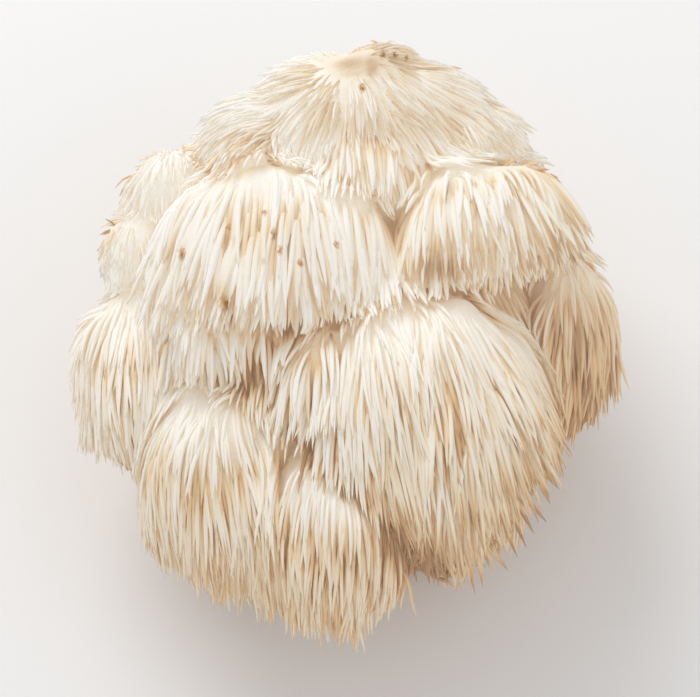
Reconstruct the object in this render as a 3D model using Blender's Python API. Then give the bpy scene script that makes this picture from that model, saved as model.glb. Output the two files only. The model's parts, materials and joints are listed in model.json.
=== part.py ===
"""A lion's mane mushroom: one white fruiting body, lying on the flat cut at its back.

The head grew with its spines hanging down. It now lies on its cut, so that the crown is at the
far side, +Y, and the spines run towards the near side, -Y, and a little down.

Every lump of the head is a tuft: a rounded crest from which locks of spines run down and end
in separate points. Its place is given in millimetres on three axes of the growing head:
across (right is plus), up (against the hang of the spines) and out (away from the wood).
"""

import math
import random

import bmesh
import bpy
from mathutils import Vector

MM = 0.001

# How the growing head lies: its up axis leans back from upright by this much.
LIE_BACK_DEG = 65.0
# Height of the middle of the head over the cut, in mm.
MIDDLE_HEIGHT = 52.0

# The body that all the tufts grow from, on the floor's own axes, in mm.
CORE_MIDDLE = (0.0, 4.0, 42.0)
CORE_RADII = (58.0, 58.0, 56.0)
CORE_LUMP = 2.5
CORE_WAVES = (5.0, 5.0, 6.0)
CORE_SEGMENTS = 40
CORE_RINGS = 20

# Locks, in mm. They grow out of the smooth crest, and some lift off the lock below.
LOCK_HEIGHT = 1.4
LOCK_UNEVEN = 0.4
LOCK_SWAY = 0.3
LOCK_GROWTH = 2.2
LIFTED_SHARE = 0.3
LIFT = 1.4
TIP_SHORTEST = 5.0
TIP_LONGEST = 12.0
# A tuft that draws in closes with a rounded end, and one with an open hem is hollowed a little.
UNDER_FILL = 18.0
OPEN_HEM = 0.88
# Where the rings of a tuft lie, as shares of its length.
RING_STEPS = (0.05, 0.19, 0.42, 0.7, 0.94)
RING_JITTER = 0.05
LIFT_FROM = 0.24
WIDEST_AT = 0.48
CREST_ROUND = 2.4

# Bald lumps of flesh round the cut, where the head was fixed to the wood.
KNOB_COUNT = 30
KNOB_SMALLEST = 4.0
KNOB_LARGEST = 10.0
KNOB_LOWEST_PLACE = 2.0
KNOB_HIGHEST_PLACE = 19.0
# How far inside the core's surface their middles lie.
KNOB_INSET = 2.0
KNOB_SEED = 5

# Half the width, and the depth, of the block that is cut away below the floor, in metres.
FLOOR_REACH = 0.4
FLOOR_DEPTH = 0.2

MOST_TRIANGLES = 9700
SEED = 11

# name, crest (across, up, out), hem (across, up, out), half width, half depth,
# width of the hem as a share of the widest, locks
TUFTS = (
    ("crown", (4, 76, 0), (6, 41, 25), 32, 27, 0.95, 26),
    ("crown_left", (-21, 62, 4), (-33, 40, 15), 17, 25, 0.95, 18),
    ("crown_right", (30, 66, 0), (40, 41, 12), 17, 26, 0.95, 18),
    ("crown_sweep", (6, 65, 18), (13, 38, 34), 24, 14, 0.95, 18),
    ("shoulder_right", (45, 54, -2), (57, 20, 2), 11, 26, 0.85, 14),
    ("shoulder_left", (-46, 50, 5), (-50, 32, 11), 13, 21, 0.85, 14),
    ("shoulder_low", (-54, 36, 5), (-54, 18, 9), 11, 21, 0.85, 12),
    ("crest_knot", (-26, 55, 24), (-29, 42, 34), 12, 12, 0.9, 10),
    ("tier_left", (-15, 50, 28), (-19, 5, 36), 34, 22, 0.9, 28),
    ("tier_right", (31, 49, 25), (39, 19, 33), 27, 22, 0.9, 24),
    ("middle_left", (-26, 18, 24), (-24, -8, 28), 24, 21, 0.85, 18),
    ("cheek_left", (-57, 18, 8), (-54, -23, 6), 18, 26, 0.72, 18),
    ("belly", (10, 17, 34), (29, -54, 22), 41, 32, 0.45, 32),
    ("cheek_right", (61, 28, 2), (58, -16, -2), 15, 27, 0.75, 16),
    ("lower_left", (-34, -8, 26), (-23, -62, 3), 30, 31, 0.6, 26),
    ("lower_middle", (-6, -22, 33), (-4, -67, 7), 27, 28, 0.7, 24),
    ("lower_right", (30, -16, 4), (20, -54, -4), 24, 27, 0.6, 18),
    ("under_left", (-41, 12, -22), (-32, -44, -20), 24, 24, 0.7, 14),
    ("under_right", (42, 16, -24), (34, -42, -22), 22, 24, 0.7, 14),
    ("under_middle", (0, -18, -14), (-2, -62, -16), 30, 24, 0.65, 16),
    ("back_top", (2, 75, -10), (0, 48, -22), 27, 22, 0.9, 16),
    ("back_left", (-24, 62, -14), (-40, 24, -22), 22, 22, 0.85, 14),
    ("back_right", (28, 62, -14), (42, 22, -24), 21, 22, 0.85, 14),
    ("back_low", (0, 60, -28), (2, 34, -36), 24, 16, 0.85, 12),
)


def clear_scene():
    for obj in list(bpy.data.objects):
        bpy.data.objects.remove(obj, do_unlink=True)


def lay_down(across, up, out):
    """Turns a place on the growing head, in mm, to the floor's axes, in metres."""
    lean = math.radians(LIE_BACK_DEG)
    y = up * math.sin(lean) - out * math.cos(lean)
    z = up * math.cos(lean) + out * math.sin(lean) + MIDDLE_HEIGHT
    return Vector((across, y, z)) * MM


def mesh_object(name, points, faces):
    mesh = bpy.data.meshes.new(name)
    mesh.from_pydata(points, [], faces)
    mesh.update()
    obj = bpy.data.objects.new(name, mesh)
    bpy.context.scene.collection.objects.link(obj)
    return obj


def fullness(share, hem_share):
    """How wide a tuft is at this share of its length: a round crest, then a drawn-in hem."""
    if share < WIDEST_AT:
        return (1.0 - (1.0 - share / WIDEST_AT) ** CREST_ROUND) ** (1.0 / CREST_ROUND)
    past = (share - WIDEST_AT) / (1.0 - WIDEST_AT)
    return 1.0 - (1.0 - hem_share) * past * past


def tuft(name, crest, hem, half_width, half_depth, hem_share, locks, chance):
    """A rounded crest with locks that run down it and end in points of uneven length."""
    crest = Vector(crest)
    hem = Vector(hem)
    run = hem - crest
    side = Vector((1.0, 0.0, 0.0))
    down = run.normalized()
    side = (side - down * side.dot(down)).normalized()
    front = side.cross(down)
    if front.z < 0.0:
        front = -front
    around = 2 * locks
    turn = chance.uniform(0.0, 1.0)
    uneven = [chance.uniform(1.0 - LOCK_UNEVEN, 1.0 + LOCK_UNEVEN) for _ in range(around)]
    sway = [chance.uniform(-LOCK_SWAY, LOCK_SWAY) for _ in range(around)]
    points = [crest]
    for step in RING_STEPS:
        for k in range(around):
            share = step
            if RING_STEPS[0] < step < RING_STEPS[-1]:
                share += chance.uniform(-RING_JITTER, RING_JITTER)
            width = fullness(share, hem_share)
            angle = 2 * math.pi * (k + turn + sway[k] * share) / around
            ridge = LOCK_HEIGHT * uneven[k] * min(1.0, share * LOCK_GROWTH)
            if k % 2:
                ridge = -ridge
            elif step > LIFT_FROM and chance.random() < LIFTED_SHARE:
                ridge += LIFT
            across = (half_width * width + ridge) * math.cos(angle)
            out = (half_depth * width + ridge) * math.sin(angle)
            points.append(crest + run * share + side * across + front * out)
    last = len(points) - around
    tips = []
    for k in range(0, around, 2):
        here = points[last + k]
        along = (here - points[last - around + k]).normalized()
        longer = chance.uniform(TIP_SHORTEST, TIP_LONGEST)
        tips.append(len(points))
        points.append(here + along * longer)
    middle = len(points)
    points.append(crest + run * RING_STEPS[-1] + down * UNDER_FILL * (OPEN_HEM - hem_share))

    faces = []
    for k in range(around):
        faces.append((0, 1 + k, 1 + (k + 1) % around))
    for row in range(len(RING_STEPS) - 1):
        upper = 1 + row * around
        lower = upper + around
        for k in range(around):
            nxt = (k + 1) % around
            if k % 2:
                faces.append((upper + k, lower + k, lower + nxt))
                faces.append((upper + k, lower + nxt, upper + nxt))
            else:
                faces.append((upper + k, lower + k, upper + nxt))
                faces.append((upper + nxt, lower + k, lower + nxt))
    for k in range(0, around, 2):
        before = last + (k - 1) % around
        after = last + (k + 1) % around
        tip = tips[k // 2]
        faces.append((before, tip, last + k))
        faces.append((last + k, tip, after))
        faces.append((middle, tip, before))
        faces.append((middle, after, tip))
    obj = mesh_object(name, [lay_down(*p) for p in points], faces)
    face_outward(obj)
    return obj


def face_outward(obj):
    shape = bmesh.new()
    shape.from_mesh(obj.data)
    bmesh.ops.recalc_face_normals(shape, faces=shape.faces)
    if shape.calc_volume(signed=True) < 0.0:
        bmesh.ops.reverse_faces(shape, faces=shape.faces)
    shape.to_mesh(obj.data)
    shape.free()


def core(chance):
    """The solid flesh behind the tufts, a little lumpy."""
    shape = bmesh.new()
    bmesh.ops.create_uvsphere(
        shape, u_segments=CORE_SEGMENTS, v_segments=CORE_RINGS, radius=1.0
    )
    phase = [chance.uniform(0.0, 2 * math.pi) for _ in range(3)]
    for vert in shape.verts:
        x, y, z = vert.co
        waves = zip((x, y, z), CORE_WAVES, phase)
        swell = CORE_LUMP * sum(math.sin(place * wave + start) for place, wave, start in waves) / 3
        vert.co.x = (x * (CORE_RADII[0] + swell) + CORE_MIDDLE[0]) * MM
        vert.co.y = (y * (CORE_RADII[1] + swell) + CORE_MIDDLE[1]) * MM
        vert.co.z = (z * (CORE_RADII[2] + swell) + CORE_MIDDLE[2]) * MM
    mesh = bpy.data.meshes.new("core")
    shape.to_mesh(mesh)
    shape.free()
    obj = bpy.data.objects.new("core", mesh)
    bpy.context.scene.collection.objects.link(obj)
    face_outward(obj)
    return obj


def knob(name, middle, radius, chance):
    """A low bald lump beside the cut."""
    shape = bmesh.new()
    bmesh.ops.create_icosphere(shape, subdivisions=1, radius=1.0)
    squash = (chance.uniform(0.8, 1.3), chance.uniform(0.8, 1.3), chance.uniform(0.7, 1.0))
    turn = chance.uniform(0.0, 2 * math.pi)
    for vert in shape.verts:
        x, y, z = (vert.co[i] * squash[i] * radius for i in range(3))
        vert.co.x = (x * math.cos(turn) - y * math.sin(turn) + middle[0]) * MM
        vert.co.y = (x * math.sin(turn) + y * math.cos(turn) + middle[1]) * MM
        vert.co.z = (z + middle[2]) * MM
    mesh = bpy.data.meshes.new(name)
    shape.to_mesh(mesh)
    shape.free()
    obj = bpy.data.objects.new(name, mesh)
    bpy.context.scene.collection.objects.link(obj)
    face_outward(obj)
    return obj


def knobs(chance):
    """Bald lumps in a ring low on the core, just above the cut."""
    made = []
    for k in range(KNOB_COUNT):
        angle = 2 * math.pi * (k + chance.uniform(-0.3, 0.3)) / KNOB_COUNT
        height = chance.uniform(KNOB_LOWEST_PLACE, KNOB_HIGHEST_PLACE)
        radius = chance.uniform(KNOB_SMALLEST, KNOB_LARGEST)
        low = (height - CORE_MIDDLE[2]) / (CORE_RADII[2] - KNOB_INSET)
        ring = math.sqrt(max(0.0, 1.0 - low * low))
        x = CORE_MIDDLE[0] + (CORE_RADII[0] - KNOB_INSET) * ring * math.cos(angle)
        y = CORE_MIDDLE[1] + (CORE_RADII[1] - KNOB_INSET) * ring * math.sin(angle)
        made.append(knob(f"knob_{k}", (x, y, height), radius, chance))
    return made


def apply_boolean(target, tool, operation):
    """Joins or cuts with the exact solver, then removes the tool."""
    step = target.modifiers.new(operation.lower(), "BOOLEAN")
    step.operation = operation
    step.solver = "EXACT"
    step.object = tool
    bpy.context.view_layer.update()
    graph = bpy.context.evaluated_depsgraph_get()
    shaped = bpy.data.meshes.new_from_object(target.evaluated_get(graph))
    target.modifiers.clear()
    target.data = shaped
    bpy.data.objects.remove(tool, do_unlink=True)


def cut_flat(target):
    """Takes away everything below the floor, which leaves the flat cut."""
    corners = []
    for z in (-FLOOR_DEPTH, 0.0):
        for x, y in ((-1, -1), (1, -1), (1, 1), (-1, 1)):
            corners.append(Vector((x * FLOOR_REACH, y * FLOOR_REACH, z)))
    sides = [
        (3, 2, 1, 0),
        (4, 5, 6, 7),
        (0, 1, 5, 4),
        (1, 2, 6, 5),
        (2, 3, 7, 6),
        (3, 0, 4, 7),
    ]
    block = mesh_object("floor_block", corners, sides)
    apply_boolean(target, block, "DIFFERENCE")


def keep_outer_skin(obj):
    """Drops the small closed pockets that stay between tufts, so that one skin is left."""
    shape = bmesh.new()
    shape.from_mesh(obj.data)
    bmesh.ops.triangulate(shape, faces=shape.faces)
    unseen = set(shape.verts)
    groups = []
    while unseen:
        first = unseen.pop()
        group = {first}
        waiting = [first]
        while waiting:
            here = waiting.pop()
            for edge in here.link_edges:
                there = edge.other_vert(here)
                if there in unseen:
                    unseen.discard(there)
                    group.add(there)
                    waiting.append(there)
        groups.append(group)
    groups.sort(key=len, reverse=True)
    for group in groups[1:]:
        bmesh.ops.delete(shape, geom=list(group), context="VERTS")
    shape.to_mesh(obj.data)
    shape.free()
    print("skins found:", len(groups))


def thin_out(obj, most):
    """Merges the smallest faces, which the joins leave behind, until this many are left."""
    step = obj.modifiers.new("thin_out", "DECIMATE")
    step.decimate_type = "COLLAPSE"
    step.ratio = min(1.0, most / len(obj.data.polygons))
    bpy.context.view_layer.update()
    graph = bpy.context.evaluated_depsgraph_get()
    shaped = bpy.data.meshes.new_from_object(obj.evaluated_get(graph))
    obj.modifiers.clear()
    obj.data = shaped


def stand_on_origin(obj):
    """Moves the part so that the middle of its box stands over the origin, on the floor."""
    xs = [v.co.x for v in obj.data.vertices]
    ys = [v.co.y for v in obj.data.vertices]
    zs = [v.co.z for v in obj.data.vertices]
    shift = Vector((-(min(xs) + max(xs)) / 2, -(min(ys) + max(ys)) / 2, -min(zs)))
    for vert in obj.data.vertices:
        vert.co += shift
    print("moved by, in mm:", [round(v / MM, 3) for v in shift])
    size = (max(xs) - min(xs), max(ys) - min(ys), max(zs) - min(zs))
    print("size, in mm:", [round(v / MM, 2) for v in size])


def flesh_material():
    mat = bpy.data.materials.new("flesh")
    mat.use_nodes = True
    surface = mat.node_tree.nodes["Principled BSDF"]
    surface.inputs["Base Color"].default_value = (0.86, 0.76, 0.60, 1.0)
    surface.inputs["Roughness"].default_value = 0.65
    return mat


def fruiting_body():
    chance = random.Random(SEED)
    body = core(chance)
    for lump in knobs(random.Random(KNOB_SEED)):
        apply_boolean(body, lump, "UNION")
    for row in TUFTS:
        apply_boolean(body, tuft(*row, chance), "UNION")
    keep_outer_skin(body)
    print("triangles before thinning:", len(body.data.polygons))
    thin_out(body, MOST_TRIANGLES)
    cut_flat(body)
    keep_outer_skin(body)
    stand_on_origin(body)
    body.name = "fruiting_body"
    body.data.name = "fruiting_body"
    body.data.materials.clear()
    body.data.materials.append(flesh_material())
    for face in body.data.polygons:
        face.use_smooth = True
    print("triangles:", len(body.data.polygons))
    return body


clear_scene()
fruiting_body()
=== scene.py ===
# %% [markdown]
# # A lion's mane mushroom
#
# This fungus grows on a tree or a bag of sawdust as one white ball. The ball is a bunch of
# rounded lobes, and every lobe is covered in soft spines that hang straight down. Here it lies
# on the flat cut where it was sliced off, and the camera looks down on it.
#
# A lumpy ball with a fine bump would have a smooth edge, and its tiers would have no fringes.
# So the mushroom is made as it grows: first the flesh with its lobes, then the spines, one by
# one, which start on the flesh, bend over and hang.

# %% Open the frame
import json
import math
import random

import bpy
import numpy as np
from mathutils import Matrix, Vector

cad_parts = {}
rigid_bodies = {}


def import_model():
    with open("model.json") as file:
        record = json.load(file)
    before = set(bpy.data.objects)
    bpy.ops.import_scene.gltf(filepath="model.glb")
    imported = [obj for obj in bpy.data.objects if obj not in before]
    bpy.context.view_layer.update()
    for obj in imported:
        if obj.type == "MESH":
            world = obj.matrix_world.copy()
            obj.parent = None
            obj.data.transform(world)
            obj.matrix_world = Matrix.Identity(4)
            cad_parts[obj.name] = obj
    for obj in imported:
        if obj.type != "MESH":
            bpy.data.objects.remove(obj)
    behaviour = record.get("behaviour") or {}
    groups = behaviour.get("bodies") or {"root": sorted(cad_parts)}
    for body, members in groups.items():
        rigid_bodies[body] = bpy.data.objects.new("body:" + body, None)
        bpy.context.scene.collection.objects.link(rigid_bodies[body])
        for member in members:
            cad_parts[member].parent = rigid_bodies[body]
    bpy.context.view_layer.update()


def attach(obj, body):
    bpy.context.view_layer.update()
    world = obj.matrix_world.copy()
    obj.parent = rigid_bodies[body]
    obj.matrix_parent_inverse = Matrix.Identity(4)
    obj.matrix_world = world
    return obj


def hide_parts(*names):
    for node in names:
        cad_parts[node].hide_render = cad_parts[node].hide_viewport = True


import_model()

MM = 0.001


# %% [markdown]
# ## Where things are
#
# It is easier to think of the head as it grew: across, up against the hang of the spines, and
# out towards the eye. Every place below is these three numbers, in millimetres. The whole head
# then leans back by 65 degrees, so that its back is down. A formula turns the places, and not
# a rotation on the objects, so every finished object sits unturned at the origin.

# %% The lie of the head
LIE_BACK = math.radians(65.0)
MIDDLE_HEIGHT = 52.0
SLIDE_X, SLIDE_Y = -0.911, 0.391
TURN = np.array([
    [1.0, 0.0, 0.0],
    [0.0, math.sin(LIE_BACK), -math.cos(LIE_BACK)],
    [0.0, math.cos(LIE_BACK), math.sin(LIE_BACK)],
])
STAND = np.array([SLIDE_X, SLIDE_Y, MIDDLE_HEIGHT])


def lay_down(places):
    """Growing head, in mm, to the floor, in metres."""
    return (np.asarray(places) @ TURN.T + STAND) * MM


def stand_up(places):
    """Floor, in metres, to the growing head, in mm."""
    return (np.asarray(places) / MM - STAND) @ TURN


print("middle of the head, on the floor, in mm:", (lay_down((0.0, 0.0, 0.0)) / MM).round(1))

# %% [markdown]
# ## The lobes
#
# The lobes give this fungus its look of wigs in a pile: a crown on top, two tiers with open
# fringes, and a big belly with cheeks and lower lobes around it. They could be sculpted, but a
# table is easier to read and to change. Each row is one lobe: its crest, the middle of the hem
# that its spines reach, half its width, half its depth, how open its hem is, and how long its
# spines get. A tier has an open hem that hangs free over the lobe below. A low lobe is closed,
# so its spines follow the ball.

# %% The table of lobes
LOBES = (
    ("crown", (4, 77, 1), (6, 40, 26), 32, 29, 0.95, 20),
    ("crown_left", (-18, 62, 4), (-28, 37, 15), 17, 26, 0.95, 16),
    ("crown_right", (27, 67, 0), (36, 40, 12), 15, 27, 0.95, 13),
    ("crown_sweep", (4, 67, 18), (8, 37, 35), 22, 18, 0.95, 22),
    ("shoulder_right", (45, 54, -2), (57, 20, 2), 11, 26, 0.85, 20),
    ("shoulder_left", (-47, 52, 5), (-51, 30, 12), 13, 22, 0.85, 9),
    ("shoulder_low", (-55, 38, 5), (-56, 15, 10), 12, 22, 0.85, 10),
    ("crest_knot", (-26, 55, 24), (-29, 42, 34), 12, 12, 0.9, 13),
    ("crown_bump", (10, 79, 12), (12, 68, 24), 9, 10, 0.95, 6),
    ("tier_left", (-15, 50, 28), (-19, 5, 36), 34, 22, 0.9, 31),
    ("tier_right", (30, 49, 25), (38, 19, 33), 27, 22, 0.9, 25),
    ("middle_left", (-26, 18, 24), (-24, -8, 28), 24, 21, 0.85, 24),
    ("cheek_left", (-58, 19, 8), (-55, -32, 6), 18, 27, 0.72, 24),
    ("belly", (10.5, 17, 34), (27, -57, 22), 36.5, 33, 0.5, 29),
    ("belly_left", (-5, 8, 33), (-4, -21, 34), 15, 21, 0.85, 25),
    ("cheek_right", (61, 28, 2), (58, -25, -2), 15, 27, 0.7, 24),
    ("lower_left", (-34, -6, 29), (-22, -61, 2), 30, 31, 0.65, 26),
    ("lower_middle", (-3, -24, 42), (-2, -64, 10), 26, 29, 0.72, 22),
    ("lower_right", (30, -16, 4), (20, -60, -4), 24, 27, 0.6, 22),
    ("under_left", (-41, 12, -22), (-32, -44, -20), 24, 24, 0.7, 18),
    ("under_right", (42, 16, -24), (34, -42, -22), 22, 24, 0.7, 18),
    ("under_middle", (0, -18, -14), (-2, -62, -16), 30, 24, 0.65, 20),
    ("back_top", (2, 75, -10), (0, 48, -22), 27, 22, 0.9, 12),
    ("back_left", (-24, 62, -14), (-40, 24, -22), 22, 22, 0.85, 12),
    ("back_right", (28, 62, -14), (42, 22, -24), 21, 22, 0.85, 12),
    ("back_low", (0, 60, -28), (2, 34, -36), 24, 16, 0.85, 9),
)
NAMES = [lobe[0] for lobe in LOBES]
# The first rows are the crown's, and the next ones lie close around it.
CROWN_ROWS = 4
UPPER_ROWS = 9
FLAT_LOBES = ("crown", "crown_left", "crown_right", "shoulder_left", "shoulder_low", "crown_bump")
print("lobes:", len(LOBES), "with a thin coat:", len(FLAT_LOBES))

# %% [markdown]
# ## The flesh under each lobe
#
# The flesh of a lobe is a ball squeezed in three directions, a coat thinner than the lobe that
# is seen, because the spines lie over it. Its three axes follow the row: across, along from
# crest to hem, and out. A round core holds all the lobes together and reaches down to the cut.

# %% Middles, axes and radii of the flesh
# The spines lie over the flesh in a coat this thick, and in a thin one on the flat lobes.
COAT = 3.4
THIN_COAT = 1.8
# Half the length of a lobe's flesh, and how far below the middle it sits, as shares of its run.
FLESH_LENGTH = 0.47
FLESH_DROP = 0.02
# The core: its middle before the slide, and its radii, over the floor.
CORE_AT = (0.0, 4.0, 42.0)
CORE_RADII = (56.0, 56.0, 54.0)
CORE_MIDDLE = np.array(CORE_AT) - STAND + np.array([SLIDE_X, SLIDE_Y, 0.0])
CORE_CREST = (0, 60, 0)
CORE_REACH = 130.0
DOWN = np.array([0.0, -1.0, 0.0])


def lobe_frame(name, crest, hem, width, depth):
    """Middle, axes (across, along, out) and radii of one lobe's flesh."""
    run = np.array(hem, float) - np.array(crest, float)
    size = np.linalg.norm(run)
    along = run / size
    side = np.array([1.0, 0.0, 0.0])
    side = side - along * side.dot(along)
    side /= np.linalg.norm(side)
    out = np.cross(side, along)
    out = out if out[2] > 0 else -out
    middle = np.array(crest, float) + run * (FLESH_LENGTH + FLESH_DROP)
    coat = THIN_COAT if name in FLAT_LOBES else COAT
    return middle, np.stack([side, along, out]), [width - coat, size * FLESH_LENGTH, depth - coat]


lobe_frames = [lobe_frame(*lobe[:5]) for lobe in LOBES]
lobe_frames.append((CORE_MIDDLE @ TURN, TURN.copy(), CORE_RADII))
MIDDLES, AXES, RADII = (np.array(column) for column in zip(*lobe_frames))
RUNS = np.array([axes[1] for axes in AXES[:-1]] + [DOWN])
CRESTS = np.array([lobe[1] for lobe in LOBES] + [CORE_CREST], float)
REACHES = np.array([np.linalg.norm(np.subtract(lobe[2], lobe[1])) for lobe in LOBES] + [CORE_REACH])
print("longest lobe, in mm:", round(float(REACHES[:-1].max()), 1))

# %% [markdown]
# ## Balls for the lobes
#
# Every lobe starts as a UV sphere, squeezed and turned into place. An icosphere would do as
# well, since the remesh that follows makes new faces. Each ball gets its place from a matrix,
# which is then applied, because the three axes of a lobe seldom lie along those of the floor.

# %% Balls for the lobes


def only(*objects):
    """Selects these objects and no others."""
    bpy.ops.object.select_all(action="DESELECT")
    for obj in objects:
        obj.select_set(True)
    bpy.context.view_layer.objects.active = objects[0]


def ball(name, middle, axes, radii):
    """A ball with these radii along these axes, laid down."""
    bpy.ops.object.select_all(action="DESELECT")
    bpy.ops.mesh.primitive_uv_sphere_add(segments=40, ring_count=20, radius=1.0)
    made = bpy.context.active_object
    made.name = name
    turned = np.eye(4)
    turned[:3, :3] = (TURN @ axes.T) * radii * MM
    turned[:3, 3] = lay_down(middle)
    made.matrix_world = Matrix(turned.tolist())
    bpy.ops.object.transform_apply(location=True, rotation=True, scale=True)
    return made


lobe_balls = [ball(f"lobe_{k}", MIDDLES[k], AXES[k], RADII[k]) for k in range(len(MIDDLES))]
print("balls of flesh:", len(lobe_balls))

# %% [markdown]
# ## Knobs round the cut
#
# Where such a head sat on its wood, the flesh is knobbly and nearly bald. A displacement could
# make the knobs, but they would all be alike. Here they are thirty small spheres in a ring just
# above the cut, each with its own height, size and squeeze. The middle, axes and radii of each
# are kept as well, so that short spines can find them later.

# %% Knobs round the cut
KNOBS = 30
KNOB_SEED = 5
KNOB_PLACES = (2.0, 19.0)
KNOB_SIZES = (4.0, 10.0)


def beside_core(angle, height):
    """A place on the side of the core, at this height over the floor, in mm."""
    ring = math.sqrt(1.0 - ((height - CORE_AT[2]) / CORE_RADII[2]) ** 2)
    return Vector((CORE_RADII[0] * ring * math.cos(angle) + SLIDE_X,
                   CORE_AT[1] + CORE_RADII[1] * ring * math.sin(angle) + SLIDE_Y, height))


def knob(number, pick):
    """One knob, and its middle, axes and radii on the growing head."""
    angle = 2 * math.pi * (number + pick.uniform(-0.3, 0.3)) / KNOBS
    height = pick.uniform(*KNOB_PLACES)
    radius = pick.uniform(*KNOB_SIZES)
    place = beside_core(angle, height)
    bpy.ops.object.select_all(action="DESELECT")
    bpy.ops.mesh.primitive_uv_sphere_add(
        segments=16, ring_count=8, radius=radius * MM, location=place * MM)
    made = bpy.context.active_object
    squeeze = (pick.uniform(0.8, 1.3), pick.uniform(0.8, 1.3), pick.uniform(0.7, 1.0))
    bpy.ops.transform.resize(value=squeeze)
    bpy.ops.transform.rotate(
        value=pick.uniform(0.0, 2 * math.pi), orient_axis="Z", center_override=made.location)
    bpy.context.view_layer.update()
    turned = np.array(made.matrix_world)[:3, :3]
    widths = np.linalg.norm(turned, axis=0)
    bpy.ops.object.transform_apply(location=True, rotation=True, scale=True)
    return made, (stand_up(np.array(place) * MM), (turned / widths).T @ TURN, widths * radius)


knob_pick = random.Random(KNOB_SEED)
knob_balls, knob_frames = zip(*(knob(number, knob_pick) for number in range(KNOBS)))
MIDDLES, AXES, RADII = (
    np.concatenate([values, column])
    for values, column in zip((MIDDLES, AXES, RADII), zip(*knob_frames))
)
print("knobs:", len(knob_balls))

# %% [markdown]
# ## One skin
#
# The real flesh is solid, and its lobes have grown together. Booleans between so many balls
# would be slow and leave sharp creases. A voxel remesh makes one skin of all of them in a
# moment, with even faces, and a smooth step rounds the creases. Then the skin is cut flat
# below, where the mushroom was sliced off.

# %% One skin
VOXEL = 1.5


def apply_step(obj, kind, **settings):
    """Adds a modifier, sets it and applies it."""
    only(obj)
    step = obj.modifiers.new(kind.lower(), kind)
    for key, value in settings.items():
        setattr(step, key, value)
    bpy.ops.object.modifier_apply(modifier=step.name)


only(*lobe_balls, *knob_balls)
bpy.ops.object.join()
flesh = bpy.context.active_object
flesh.name = "flesh"
bpy.ops.object.mode_set(mode="EDIT")
bpy.ops.mesh.select_all(action="SELECT")
bpy.ops.mesh.normals_make_consistent(inside=False)
bpy.ops.object.mode_set(mode="OBJECT")
apply_step(flesh, "REMESH", mode="VOXEL", voxel_size=VOXEL * MM)
apply_step(flesh, "SMOOTH", factor=0.5, iterations=8)
only(flesh)
bpy.ops.object.mode_set(mode="EDIT")
bpy.ops.mesh.select_all(action="SELECT")
bpy.ops.mesh.bisect(plane_co=(0, 0, 0), plane_no=(0, 0, 1), use_fill=True, clear_inner=True)
bpy.ops.object.mode_set(mode="OBJECT")
bpy.ops.object.shade_smooth()
print("faces of flesh:", len(flesh.data.polygons))

# %% [markdown]
# ## Small swellings
#
# No lobe is a perfect ball. Its skin swells and sinks by about a millimetre in front, and by a
# few millimetres at the back. A noise texture could push the skin, but the spines have to know
# its height too. So the swelling is a formula that both can use: a sum of sine waves that run
# in all directions, each of its own length.

# %% Small swellings
WAVES = 14
WAVE_LENGTHS = (11.0, 26.0)
WAVE_SEED = 3
FRONT_SWELL = 0.34
BACK_SWELL = 0.8
# The back begins this far out, and comes on over this many mm.
BACK_FROM, BACK_OVER = -8.0, 20.0
# Above the cut the swelling comes on over this many mm, so that the cut stays flat.
CUT_FADE = 6.0
wave_pick = np.random.default_rng(WAVE_SEED)
wave_axes = wave_pick.normal(0.0, 1.0, (WAVES, 3))
wave_axes /= np.linalg.norm(wave_axes, axis=1, keepdims=True)
wave_axes *= 2 * math.pi / wave_pick.uniform(*WAVE_LENGTHS, WAVES)[:, None]
wave_starts = wave_pick.uniform(0.0, 2 * math.pi, WAVES)


def swelling(places):
    """How far the skin swells out at these places, in mm: a little in front, more at the back."""
    swell = np.sin(places @ wave_axes.T + wave_starts).sum(axis=1)
    back = np.clip((BACK_FROM - places[:, 2]) / BACK_OVER, 0.0, 1.0)
    return swell * (FRONT_SWELL + (BACK_SWELL - FRONT_SWELL) * back)


def read_skin(name):
    """Places or normals of all points of the flesh, three numbers for each."""
    found = np.empty(len(flesh.data.vertices) * 3)
    flesh.data.vertices.foreach_get(name, found)
    return found.reshape(-1, 3)


smooth_skin = read_skin("co")
swell = swelling(stand_up(smooth_skin)) * np.clip(smooth_skin[:, 2] / (CUT_FADE * MM), 0.0, 1.0)
swollen = smooth_skin + read_skin("normal") * swell[:, None] * MM
swollen[:, 2] = np.maximum(swollen[:, 2], 0.0)
flesh.data.vertices.foreach_set("co", swollen.ravel())
flesh.data.update()
print("most and least swelling, in mm:", round(float(swell.max()), 1), round(float(swell.min()), 1))

# %% [markdown]
# ## How far from the flesh
#
# A spine must know where the flesh is, so that it lies on it and not in it. Rays against the
# mesh would be slow for so many places. The distance to a squeezed ball has a short formula,
# and the nearest of all the balls is the one that counts. A soft minimum rounds the valleys in
# the same way as the remesh did.

# %% Distance to the flesh
SOFTNESS = 1.5
# How far apart two places are that tell which way the distance grows.
PROBE = 0.3


def distances(places):
    """Signed distance of each place to each ball, in mm, below zero inside."""
    found = np.empty((len(places), len(MIDDLES)))
    for k, (middle, axes, radii) in enumerate(zip(MIDDLES, AXES, RADII)):
        local = (places - middle) @ axes.T
        near = np.linalg.norm(local / radii, axis=1)
        steep = np.linalg.norm(local / radii ** 2, axis=1)
        found[:, k] = near * (near - 1.0) / np.maximum(steep, 1e-6)
    return found


def to_flesh(places, laps_here=0.0):
    """Distance to the flesh, with some lobes held a lap further away."""
    apart = distances(places) - laps_here
    least = apart.min(axis=1, keepdims=True)
    nearest = least[:, 0] - SOFTNESS * np.log(np.exp((least - apart) / SOFTNESS).sum(axis=1))
    return nearest - swelling(places)


def owners(places):
    """Number of the lobe that each place belongs to. The core and its knobs share the last."""
    return np.minimum(np.argmin(distances(places), axis=1), len(LOBES))


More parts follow.
